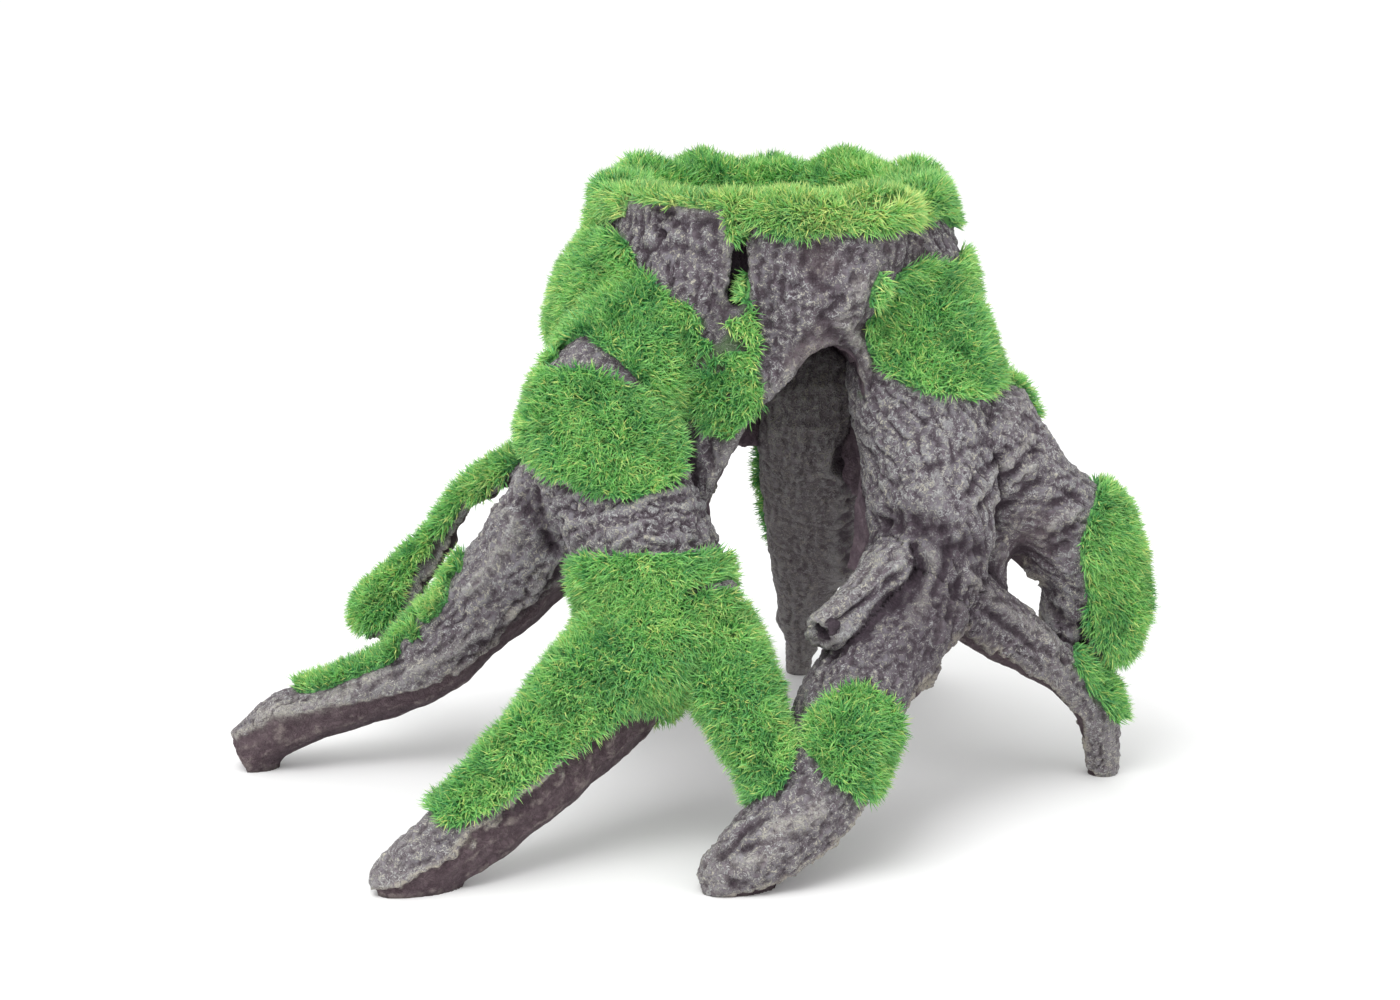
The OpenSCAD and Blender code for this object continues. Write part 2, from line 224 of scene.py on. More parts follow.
def normals_of(v, quads):
    fn = np.cross(v[quads[:, 2]] - v[quads[:, 0]], v[quads[:, 3]] - v[quads[:, 1]])
    out = np.zeros_like(v)
    for k in range(4):
        for c in range(3):
            out[:, c] += np.bincount(quads[:, k], weights=fn[:, c], minlength=len(v))
    return unit(out)


def make(name, v, faces, smooth=True, attributes=None, uv=None):
    """A mesh object from vertices in mm and a list of face arrays."""
    me = bpy.data.meshes.new(name)
    loops = np.concatenate([f.ravel() for f in faces]).astype(np.int32)
    sizes = np.concatenate([np.full(len(f), f.shape[1]) for f in faces])
    starts = np.concatenate([[0], np.cumsum(sizes)[:-1]]).astype(np.int32)
    me.vertices.add(len(v))
    me.vertices.foreach_set("co", (v / 1000).astype(np.float32).ravel())
    me.loops.add(len(loops))
    me.loops.foreach_set("vertex_index", loops)
    me.polygons.add(len(sizes))
    me.polygons.foreach_set("loop_start", starts)
    me.polygons.foreach_set("use_smooth", np.full(len(sizes), smooth))
    if uv is not None:
        layer = me.uv_layers.new(name="OFBake")
        layer.data.foreach_set("uv", uv.astype(np.float32).ravel())
    for key, value in (attributes or {}).items():
        a = me.attributes.new(key, "FLOAT", "POINT")
        a.data.foreach_set("value", value.astype(np.float32))
    me.update(calc_edges=True)
    me.validate()
    ob = bpy.data.objects.new(name, me)
    bpy.context.scene.collection.objects.link(ob)
    return ob


# ---- the wood as one smooth skin ---------------------------------------------
def wood_skin():
    vs, fs, own, base = [], [], [], 0
    for k, n in enumerate(WOOD):
        v, f = arrays_of(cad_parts[n])
        vs.append(v)
        fs.append(f + base)
        own.append(np.full(len(f), k))
        base += len(v)
    v, f, own = np.vstack(vs), np.vstack(fs), np.concatenate(own)

    me = bpy.data.meshes.new("tmp")
    me.from_pydata(v.tolist(), [], f.tolist())
    ob = bpy.data.objects.new("tmp", me)
    bpy.context.scene.collection.objects.link(ob)
    mod = ob.modifiers.new("voxels", "REMESH")
    mod.mode = "VOXEL"
    mod.voxel_size = VOXEL
    mod.adaptivity = 0
    done = ob.evaluated_get(bpy.context.evaluated_depsgraph_get()).to_mesh()
    sv = np.empty(len(done.vertices) * 3, np.float32)
    done.vertices.foreach_get("co", sv)
    sf = np.empty(len(done.loops), np.int32)
    done.loops.foreach_get("vertex_index", sf)
    sv, sf = sv.reshape(-1, 3).astype(float), sf.reshape(-1, 4).astype(np.int64)
    bpy.data.objects.remove(ob)
    bpy.data.meshes.remove(me)

    graph = Graph(len(sv), sf)
    # keep the largest connected body only
    mark = np.arange(len(sv), dtype=np.int64)
    e = edges_of(sf)
    a, b = (e >> 32), (e & 0xFFFFFFFF)
    for _ in range(400):
        m = np.minimum(mark[a], mark[b])
        new = mark.copy()
        np.minimum.at(new, a, m)
        np.minimum.at(new, b, m)
        new = new[new]
        if (new == mark).all():
            break
        mark = new
    main = np.bincount(mark).argmax()
    keep = mark == main
    if not keep.all():
        index = np.cumsum(keep) - 1
        sf = index[sf[keep[sf[:, 0]]]]
        sv = sv[keep]
        graph = Graph(len(sv), sf)

    tree = tree_of(v, f)
    label = np.array([own[tree.find_nearest(p)[2]] for p in sv.tolist()])
    for _ in range(20):
        sv = sv + 0.60 * (graph.mean(sv) - sv)
        sv = sv - 0.61 * (graph.mean(sv) - sv)
    # round off what is left of the creases between the limbs
    sv = graph.blur(sv, 5, 0.6)
    votes = np.zeros((len(sv), len(WOOD)))
    votes[np.arange(len(sv)), label] = 1
    label = graph.blur(votes, 12, 0.8).argmax(1)
    return sv, sf, graph, label


V, Q, G, LABEL = wood_skin()
N = normals_of(V, Q)
NS = unit(G.blur(N, 10))          # a calmer normal, for masks and offsets
print("skin", len(V), "vertices")


def is_(name):
    return (LABEL == WOOD.index(name)).astype(float)


def along(p, name):
    """Direction of the limb, distance along it and offset from its line, for each point."""
    line = LINES[name]
    best = np.full(len(p), 1e18)
    t, s, off = np.zeros_like(p), np.zeros(len(p)), np.zeros_like(p)
    run = 0.0
    for a, b in zip(line[:-1], line[1:]):
        d = b - a
        length = np.linalg.norm(d)
        u = np.clip(((p - a) @ d) / length ** 2, 0, 1)
        q = a + u[:, None] * d
        dist = ((p - q) ** 2).sum(1)
        k = dist < best
        best[k] = dist[k]
        t[k] = d / length
        s[k] = run + u[k] * length
        off[k] = (p - q)[k]
        run += length
    return t, s, off


T, S, OFF = np.zeros_like(V), np.zeros(len(V)), np.zeros_like(V)
for n in WOOD:
    k = LABEL == WOOD.index(n)
    if k.any():
        T[k], S[k], OFF[k] = along(V[k], n)
# directions have no sign: keep them all downward before they are blurred
T[T[:, 2] > 0] *= -1
T = unit(G.blur(T, 14))
TN = unit(T - (T * NS).sum(1)[:, None] * NS)     # in the surface
AC = unit(np.cross(NS, TN))                      # across the limb

# ---- where the moss is -------------------------------------------------------
MOSS_ON, MOSS_T = {}, {}
for n in MOSS:
    mv, mf = arrays_of(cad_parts[n])
    tree = tree_of(mv, mf)
    lo, hi = mv.min(0) - 1.5, mv.max(0) + 1.5
    near = np.nonzero(((V > lo) & (V < hi)).all(1))[0]
    on, thick = np.zeros(len(V)), np.zeros(len(V))
    for i in near:
        q = Vector(V[i] + 1.6 * NS[i])
        loc, nor, _, dist = tree.find_nearest(q)
        if loc is not None and (q - loc).dot(nor) < 0:
            on[i] = 1
            hit = tree.ray_cast(q, Vector(NS[i]), 9.0)
            thick[i] = 1.6 + (hit[3] if hit[0] is not None else 1.4)
    if n == "moss_twig":
        on = on * (NS @ np.array([-0.62, -0.12, 0.77]) + 0.55 * noise(V, 8, 130) + 0.25 * noise(V, 3.5, 133)
                   > 0.22 - 0.5 * ramp(-V[:, 2], -56, -42))
    if n == "moss_strip_left":
        on = on * (NS @ np.array([0.1, 0.25, 0.96]) + 0.3 * noise(V, 6, 131) > 0.35)
    if n == "moss_crown":
        # the mat covers the whole rim, except over the bare wedge at the front left
        wedge = (V[:, 0] < 11.5 + 2.0 * noise(V, 5, 139)) & (V[:, 1] < -20) & (V[:, 0] > -16)
        on = np.where((G.blur(on, 10, 0.8) > 0.22) & ~wedge & (V[:, 2] > 166), 1.0, on)
        dish = np.hypot(V[:, 0] - 23.1, V[:, 1] + 0.8) < 38
        on = on * ((V[:, 1] > -10) | dish | (V[:, 2] > 171.8 + 2.2 * noise(V, 9, 132)))
    if n == "moss_crown":
        hang = (V[:, 0] > 12) & (V[:, 0] < 19) & (V[:, 1] < -25)
        on = np.where(hang & (V[:, 2] > 168.5 + 3.0 * noise(V, 4, 143)), 1.0, on)
    if n == "moss_shoulder_left":
        # tufts down the right lip of the slot
        lip = np.abs(V[:, 0] - 18.0 - 1.2 * noise(V, 8, 134)) < 2.0 * (1 - ramp(V[:, 2], 152, 162)) + 1.0 * noise(V, 4, 135)
        on = np.where(lip & (V[:, 1] < -37) & (V[:, 2] > 147) & (V[:, 2] < 170), 1.0, on)
        tufts = (V[:, 0] > -4) & (V[:, 0] < 18) & (V[:, 1] < -36) & (V[:, 2] > 140)
        tufts = tufts & (V[:, 2] < 157 + 3 * noise(V, 6, 136))
        on = np.where(tufts & (noise(V, 7, 137) + 0.5 * noise(V, 3, 138) > 0.12 + 0.5 * ramp(V[:, 2], 148, 158)), 1.0, on)
    MOSS_ON[n] = on
    MOSS_T[n] = thick
ANY_MOSS = np.clip(sum(MOSS_ON.values()), 0, 1)
SPARSE = (np.exp(-(((V - np.array([9, -46, 134])) / np.array([15, 30, 17])) ** 2).sum(1))
          + np.exp(-(((V - np.array([-40, -70, 68])) / np.array([9, 30, 20])) ** 2).sum(1)))
NEAR_MOSS = G.blur(ANY_MOSS, 22, 0.8)

# ---- masks of the wood -------------------------------------------------------
trunk = is_("trunk_shell")
axis = np.array([18 + SHIFT[0], SHIFT[1]])
radial = unit(np.column_stack([V[:, :2] - axis, np.zeros(len(V))]))
facing = (NS * radial).sum(1)
INSIDE = G.blur(trunk * (facing < -0.1) * (V[:, 2] < 166), 4)
UP = NS[:, 2]

# the side of each limb that keeps its rough bark, and how much of it
SIDE = {
    "root_front_left": ((-0.50, -0.12, 0.86), -0.02),
    "root_front_left_fork": ((0.0, -0.4, 0.9), -0.9),
    "root_left_rear": ((0.05, 0.15, 0.98), 0.30),
    "root_front_right": ((-0.25, -0.35, 0.90), -0.45),
    "root_right_lower": ((0.1, -0.3, 0.95), -0.40),
    "root_right": ((0.2, -0.9, 0.3), -0.75),
    "root_right_upper": ((0.2, -0.5, 0.8), -0.60),
    "stub_broken": ((0.0, -0.5, 0.8), -0.9),
    "twig_left": ((-0.5, -0.2, 0.8), -0.35),
    "root_rear": ((0.0, 0.0, 1.0), -1.3),
    "root_rear_right": ((0.4, 0.4, 0.8), -0.5),
    "root_rear_left": ((0.0, 0.5, 0.8), -0.1),
}
lean = np.full(len(V), 2.0)
for n, (d, low) in SIDE.items():
    k = LABEL == WOOD.index(n)
    d = np.array(d) / np.linalg.norm(d)
    lean[k] = NS[k] @ d - low
z = V[:, 2]
fl = is_("root_front_left")
lean = lean + fl * 2.2 * ramp(z, 46, 66)
lr = is_("root_left_rear")
lean = lean + lr * 0.85 * ramp(z, 16, 34)
lean = G.blur(lean, 6)
rag = 0.16 * noise(V, 9, 3) + 0.14 * noise(V, 4.5, 4) + 0.08 * noise(V, 2.2, 5)
rag = rag * (1 - 0.5 * lr)
COVER = ramp(lean + rag, -0.05, 0.06) * (1 - ramp(INSIDE, 0.25, 0.6))
worn = 0.75 * np.exp(-(((V - np.array([101, -31, 79])) / np.array([9, 14, 11])) ** 2).sum(1))
worn = worn + 0.55 * trunk * (V[:, 0] > 16) * ramp(noise(V, 16, 9) + 0.4 * noise(V, 6, 10), 0.0, 0.5)
COVER = COVER * (1 - 0.3 * is_("root_rear"))
COVER = COVER * (1 - 0.8 * G.blur(np.clip(worn + 0.25 * noise(V, 5, 12) * (worn > 0.2), 0, 1), 2))
RIM = np.clip(1 - np.abs(lean + rag - 0.07) / 0.11, 0, 1) * (1 - ramp(INSIDE, 0.25, 0.6))
RIM = RIM * (np.abs(lean) < 0.6) * (1 - 0.6 * G.blur(lr, 4))

# ---- ridges and grooves that belong to one place -----------------------------
# (points in mm, half-width, height, then from painted shade at -1 to painted highlight with pale dry brush at 1)
STROKES = [
    ([[16.3, -35.8, 173.3], [16.6, -36.8, 166.9], [15.8, -37.8, 157.1], [14.3, -45.8, 149.3]], 5.2, -2.0, -1.0),  # slot beside the buttress
    ([[11.8, -41.8, 177.9], [12.9, -43.8, 167.9], [11.8, -44.8, 155.4]], 2.6, 0.5, 0.0),  # edge left of the slot
    ([[19.6, -40.3, 173.0], [19.0, -44.8, 163.2], [18.2, -45.8, 152.7]], 2.6, 0.4, 0.0),  # edge right of the slot
    ([[-6.2, -32.8, 175.7], [-2.8, -35.8, 176.3]], 2.0, -2.2, -1.0),  # knot in the wedge
    ([[-11.9, -29.8, 171.9], [-4.7, -34.8, 173.7], [2.3, -38.8, 172.5], [8.5, -40.8, 174.2]], 1.8, -1.2, -0.6),  # ledge
    ([[-9.6, -33.8, 165.1], [-0.5, -38.8, 166.9], [7.3, -41.8, 165.6]], 1.6, -1.0, -0.5),  # ledge
    ([[50.1, -48.8, 158.8], [45.7, -49.8, 152.5], [42.4, -49.8, 147.1], [46.5, -46.8, 143.8], [50.7, -41.8, 139.0], [54.9, -38.8, 132.7]], 2.6, 1.5, 0.7),  # ridge at the arch
    ([[42.8, -50.8, 153.5], [40.1, -50.8, 148.4], [43.7, -46.8, 141.6], [48.1, -39.8, 134.0]], 2.6, -1.6, -0.8),  # inside of that ridge
    ([[32.7, -51.8, 164.2], [36.1, -51.8, 159.2], [41.1, -51.8, 155.9]], 1.4, -0.8, -0.5),  # crack above the arch
    ([[38.8, -74.8, 62.4], [45.1, -75.8, 67.8], [51.7, -69.8, 70.7], [60.2, -61.8, 75.5]], 2.6, -3.0, -1.0),  # stub, groove under
    ([[47.4, -73.8, 67.3], [53.8, -67.8, 70.8], [59.1, -61.8, 73.5], [63.1, -59.8, 77.0]], 1.6, 1.8, 0.5),  # stub, second ridge
    ([[57.1, -49.8, 90.5], [62.8, -53.8, 90.9], [69.6, -56.8, 89.9], [77.3, -56.3, 86.0], [85.8, -50.8, 80.3]], 3.0, -2.8, -1.0),  # hub, fold under the upper root
    ([[69.6, -57.8, 83.2], [71.9, -58.8, 76.8], [67.7, -63.8, 71.7], [64.1, -67.8, 66.7]], 2.2, 1.9, 0.5),  # hub, rib
    ([[74.6, -57.8, 84.9], [73.9, -58.8, 78.2], [71.1, -62.8, 72.9]], 2.0, -2.2, -1.0),  # hub, fold
    ([[65.5, -56.8, 84.1], [66.4, -57.8, 78.0], [63.3, -62.3, 73.9], [60.9, -65.8, 69.7]], 1.8, -1.8, -0.9),  # hub, fold
    ([[62.7, -56.8, 85.0], [61.7, -59.8, 80.8], [59.1, -61.8, 77.3]], 1.8, 1.3, 0.3),  # hub, rib
    ([[78.2, -56.8, 80.6], [77.6, -58.8, 72.4], [75.2, -62.8, 66.2]], 1.8, -1.4, -0.7),  # hub, fold
    ([[78.2, -57.8, 76.5], [86.4, -47.8, 68.9], [94.4, -40.8, 61.1], [102.7, -33.8, 53.2], [110.0, -27.8, 47.8]], 2.0, 1.4, 0.5),  # lower root, rib
    ([[87.9, -47.8, 63.0], [96.2, -38.8, 55.2], [105.8, -32.8, 47.4], [113.6, -25.8, 41.7]], 1.6, -1.3, -0.8),  # lower root, line
    ([[81.8, -50.8, 96.0], [85.8, -46.8, 100.3], [90.8, -38.8, 103.2], [95.4, -36.8, 107.1], [99.7, -33.8, 109.7]], 1.7, 1.3, 0.7),  # limb, ridge
    ([[83.6, -49.8, 94.6], [88.0, -44.8, 98.7], [92.6, -37.8, 101.2], [97.3, -35.8, 104.8], [101.6, -32.8, 107.7]], 1.6, -1.5, -0.8),  # limb, groove
    ([[86.0, -48.8, 93.8], [91.1, -36.8, 95.7], [95.1, -36.8, 99.8], [99.8, -34.8, 103.2]], 1.7, 1.1, 0.6),  # limb, ridge
    ([[79.4, -51.8, 98.5], [83.6, -47.8, 102.8], [88.2, -40.8, 105.3], [92.9, -38.8, 109.0]], 1.5, -1.1, -0.6),  # limb, groove
    ([[69.7, -51.8, 105.4], [75.4, -50.8, 107.5], [79.8, -47.8, 110.9], [85.9, -42.8, 112.1]], 1.5, -0.9, -0.5),  # limb, groove
    ([[91.5, -34.8, 89.9], [97.0, -35.8, 94.8], [103.5, -33.8, 98.5]], 1.6, -1.2, -0.7),  # limb, groove
    ([[105.0, -32.8, 88.8], [109.2, -30.8, 91.3], [114.9, -26.8, 93.1]], 1.8, -1.6, -0.9),  # knee ledge
    ([[105.9, -31.8, 83.2], [109.4, -30.8, 86.0], [114.2, -28.8, 87.6]], 1.8, 1.2, 0.5),  # knee ledge
    ([[106.6, -30.8, 80.0], [110.1, -30.8, 82.4], [113.6, -29.8, 83.7]], 1.8, -1.5, -0.9),  # knee ledge
    ([[105.9, -28.8, 73.5], [109.2, -29.8, 76.8], [112.0, -29.8, 78.6]], 1.8, -1.4, -0.8),  # knee ledge
    ([[107.8, -18.8, 56.9], [112.1, -20.8, 53.8], [119.4, -17.8, 49.9], [126.9, -17.8, 49.3]], 2.6, -2.0, -1.0),  # knee underside
    ([[49.0, 28.2, 94.2], [49.1, 34.2, 83.3], [49.7, 48.2, 67.2], [49.9, 63.2, 50.2]], 2.4, -1.8, -1.0),  # rear root, side slot
    ([[-47.5, -4.8, 85.9], [-43.2, -6.8, 79.0], [-38.9, -6.8, 72.3]], 2.4, -2.4, -1.0),  # left root, splinter
    ([[-48.6, 1.2, 93.8], [-49.7, -1.8, 88.9], [-45.0, -5.8, 83.7], [-40.3, -6.8, 77.2]], 1.8, 1.6, 0.4),  # left root, splinter
    ([[-44.4, -4.8, 90.8], [-42.6, -6.8, 82.7], [-38.0, -6.8, 70.4]], 1.8, -1.8, -0.9),  # left root, splinter
    ([[-51.2, -2.8, 81.8], [-48.7, -5.8, 76.3], [-52.7, -5.8, 71.4], [-57.9, -5.8, 65.2], [-64.6, -5.8, 57.8]], 2.0, 1.3, 0.6),  # left root, step
    ([[-38.0, -6.8, 67.6], [-45.4, -5.8, 56.2], [-52.0, -6.8, 50.3], [-59.9, -6.8, 45.0], [-69.4, -6.8, 39.0], [-82.5, -6.8, 33.1]], 2.0, 1.2, 0.35),  # left root, edge
    ([[-36.9, -4.8, 64.3], [-43.8, -2.8, 52.6], [-51.6, -4.8, 46.3], [-60.1, -5.8, 41.2]], 2.2, -1.8, -0.9),  # left root, under the edge
    ([[-128.2, -3.8, 17.6], [-119.4, -4.8, 21.1], [-107.1, -5.8, 23.9], [-96.4, -4.8, 29.3], [-89.9, -5.8, 32.1]], 2.6, 1.0, 0.8),  # left toe, edge
    ([[-51.5, -104.8, 20.0], [-47.5, -102.8, 22.1], [-40.5, -98.8, 24.4]], 1.8, -1.2, -1.0),  # front left toe, gap
    ([[23.3, -108.8, 18.0], [26.6, -107.8, 19.9], [31.9, -107.8, 21.0], [36.3, -105.8, 23.2]], 2.2, 1.4, 0.9),  # front right toe, rim
    ([[15.3, -109.8, 10.4], [19.1, -109.8, 11.6], [23.3, -110.8, 12.5]], 2.2, 0.8, 0.9),  # front right toe, patch
    ([[16.4, -109.8, 13.0], [19.0, -109.8, 14.4]], 1.8, -1.6, -1.0),  # front right toe, pit
    ([[14.0, -109.8, 4.7], [16.7, -109.8, 4.7]], 1.6, -1.3, -1.0),  # front right toe, pit
    ([[11.0, -107.8, 10.8], [15.3, -106.8, 16.1], [19.1, -106.8, 19.5], [22.3, -105.8, 22.0]], 1.8, -1.6, -0.8),  # front right toe, torn edge
    ([[-27.4, -36.8, 145.0], [-19.5, -45.8, 144.2], [-14.4, -49.8, 140.7]], 1.8, -1.1, -0.6),  # shoulder, folds
    ([[-31.0, -39.8, 140.9], [-27.2, -43.8, 142.5], [-21.1, -48.8, 141.3]], 1.6, -0.9, -0.5),  # shoulder, folds
]


def stroke_fields():
    wob = V + 1.1 * np.column_stack([noise(V, 6, 110), noise(V, 6, 111), noise(V, 6, 112)])
    rise, shade_and_light = np.zeros(len(V)), np.zeros(len(V))
    broken = np.clip(0.85 + 0.75 * noise(V, 4.5, 140) + 0.35 * noise(V, 2.2, 142), 0.1, 1.5)
    for line, wide, height, colour in STROKES:
        line = np.array(line)
        lo, hi = line.min(0) - 12, line.max(0) + 12
        near = np.nonzero(((wob > lo) & (wob < hi)).all(1))[0]
        best = np.full(len(near), 1e9)
        for a, b in zip(line[:-1], line[1:]):
            d = b - a
            u = np.clip(((wob[near] - a) @ d) / (d @ d), 0, 1)
            off = wob[near] - (a + u[:, None] * d)
            out = (off * NS[near]).sum(1)
            flat = np.sqrt(np.maximum((off ** 2).sum(1) - out ** 2, 0)) + 3 * np.maximum(np.abs(out) - 7, 0)
            best = np.minimum(best, flat)
        mark = np.exp(-(best / wide) ** 2) * (NS[near][:, 1] < 0.35)
        mark = mark * broken[near]
        rise[near] += height * mark
        # painted shade down the slots, grooves and pits, painted highlight with pale dry brush along the ridges
        shade_and_light[near] += colour * mark
    return rise, np.clip(shade_and_light, -1, 1)


STROKE, STROKE_SHADE_AND_LIGHT = stroke_fields()

# ridges and creases of the form itself
SOFT = G.blur(V, 70, 0.8)
FORM = ((V - SOFT) * NS).sum(1)
CREASE = ramp(-FORM, 0.25, 1.5)
CREST = ramp(FORM, 0.25, 1.3)

# ---- relief ------------------------------------------------------------------
grain_dir = TN.copy()
right = np.clip(is_("root_right") + 0.8 * is_("root_right_upper"), 0, 1)
right = G.blur(right, 10)
turn = np.radians(38) * right
grain_dir = TN * np.cos(turn)[:, None] + AC * np.sin(turn)[:, None]

band = G.blur(fl * ramp(z, 62, 70) * (1 - ramp(z, 102, 112)), 4)
buttress = trunk * (V[:, 0] > 16) * (V[:, 1] < -20) * ramp(z, 112, 124)
buttress = G.blur(buttress, 8)
granular = np.clip(buttress + G.blur(is_("root_front_right"), 8), 0, 1)
slab = G.blur(lr * ramp(z, 44, 56), 6)

hub = np.exp(-(((V - np.array([66, -49, 62])) / np.array([26, 30, 24])) ** 2).sum(1))
cuff = G.blur(is_("trunk_shell") * ramp(z, 150, 162), 6)
thin = G.blur(is_("twig_left") + 0.6 * is_("root_right_lower"), 4)
swell = (1.3 * noise(V, 30, 20) + 1.0 * noise(V, 15, 21) + 0.55 * noise(V, 8.5, 22)) * (1 - 0.5 * thin)
warp = V + 1.6 * np.column_stack([noise(V, 7, 23), noise(V, 7, 24), noise(V, 7, 25)])
cracks = streak(warp, grain_dir, 5.0, 17, 30, 9)
patchy = ramp(noise(V, 19, 26), -0.35, 0.45)
groove = (1 - ramp(np.abs(cracks), 0.0, 0.22)) * patchy
fine = streak(warp, grain_dir, 2.2, 6, 31, 7)
fine2 = streak(V, grain_dir, 1.5, 3.5, 32, 5)
wrinkle = streak(V + 1.3 * (AC + TN) * noise(V, 8, 34)[:, None], AC, 3.0, 11, 33, 7)
folds = streak(V + 4 * AC * noise(V, 20, 35)[:, None], unit(TN + 0.5 * AC), 7.5, 26, 36, 9)
grit = noise(V, 2.6, 40)
grit2 = noise(V, 1.7, 41)
wiry = 1 - 2.6 * np.abs(noise(warp, 3.1, 43))
lump = noise(V, 5.0, 42)

rough = COVER
depth = 0.85 * (1 - 0.6 * granular) * (1 - 0.7 * band)
relief = -depth * groove * rough
relief += rough * (1 - 0.6 * band) * (0.30 * fine + 0.20 * fine2) * (1 - 0.4 * granular)
relief += rough * band * (0.60 * wrinkle - 0.95 * (1 - ramp(np.abs(wrinkle), 0, 0.30)))
relief += rough * (0.24 * grit + 0.24 * grit2 + 0.22 * np.maximum(wiry, -0.6)) * (1 + 0.5 * granular)
relief += rough * granular * 0.2 * lump
relief += 0.35 * G.blur(is_("root_rear"), 3) * wrinkle
relief += (0.9 * hub + 0.35 * right) * (1.5 * np.minimum(np.abs(folds) * 2.2, 1) - 1.0) * rough
relief += cuff * 0.5 * noise(V, 4, 44)
# the bare wood under the bark is lower, and has long soft grain
bare = (1 - rough) * (1 - ramp(INSIDE, 0.3, 0.7))
relief += -1.15 * (1 - rough) * (1 - ramp(INSIDE, 0.25, 0.6))
relief += bare * (0.35 * streak(V, TN, 5, 30, 50, 9) + 0.14 * fine)
relief += 0.45 * RIM * rough
# the slab-sided root is cut in flat facets
facet = noise(V + 3 * noise(V, 14, 61)[:, None] * TN, 17, 60)
relief += slab * 1.5 * (np.abs(facet) - 0.3)
# the inside of the cave is lumpy
relief += INSIDE * (0.9 * noise(V, 9, 70) + 0.3 * noise(V, 3.5, 71))

twig = G.blur(is_("twig_left"), 2)
relief += twig * (1.3 * noise(V, 6.5, 150) + 0.8 * noise(V, 3.2, 151))
calm = 1 - 0.75 * G.blur(ANY_MOSS, 3)
quiet = ramp(z, 0.2, 3.0)
relief += STROKE * 0.9 - 1.3 * CREASE * (1 - 0.5 * thin)
def spot(x, y, z, r):
    return np.exp(-(((V - np.array([x, y, z])) / r) ** 2).sum(1))


relief -= 4.0 * spot(97, -27, 70, 8.5) + 1.6 * spot(107, -19, 61, 7)
rear_root = G.blur(is_("root_rear"), 3)
relief += rear_root * ramp(NS[:, 0], 0.0, 0.6) * 5.5 * ramp(z, 34, 50) * (1 - ramp(z, 90, 104))
toward = ramp(NS @ np.array([0.75, 0.0, -0.65]), 0.1, 0.7)
relief += twig * toward * 2.6 * ramp(z, 34, 44) * (1 - ramp(z, 62, 72)) * (0.8 + 0.5 * noise(V, 5, 152))
P = V + NS * (swell * (0.35 + 0.65 * quiet) + relief * calm * quiet)[:, None]
_, stub_s, stub_off = along(V, "stub_broken")
above = ramp(unit(stub_off) @ np.array([-0.35, -0.35, 0.87]), -0.75, 0.1)
narrow = G.blur(is_("stub_broken") * ramp(stub_s, 14, 42) * above, 6)
P = P - stub_off * (0.50 * narrow)[:, None]
P[:, 2] = np.maximum(P[:, 2], 0.0)
P = np.where((z < 0.9)[:, None], np.column_stack([P[:, 0], P[:, 1], np.zeros(len(P))]), P)

# what stands out of the relief catches the dry brush, what lies low keeps the wash
P_N0 = normals_of(P, Q)
PN_S = unit(G.blur(P_N0, 3))
stand = ((P - G.blur(P, 5, 0.8)) * PN_S).sum(1)
stand2 = ((P - G.blur(P, 18, 0.8)) * PN_S).sum(1)
high = 0.5 + 0.5 * np.tanh(3.2 * stand + 0.9 * stand2)

# ---- shader helpers ----------------------------------------------------------
def lin(r, g, b):
    return tuple(((c / 255) / 12.92 if c / 255 <= 0.04045 else ((c / 255 + 0.055) / 1.055) ** 2.4)
                 for c in (r, g, b)) + (1.0,)


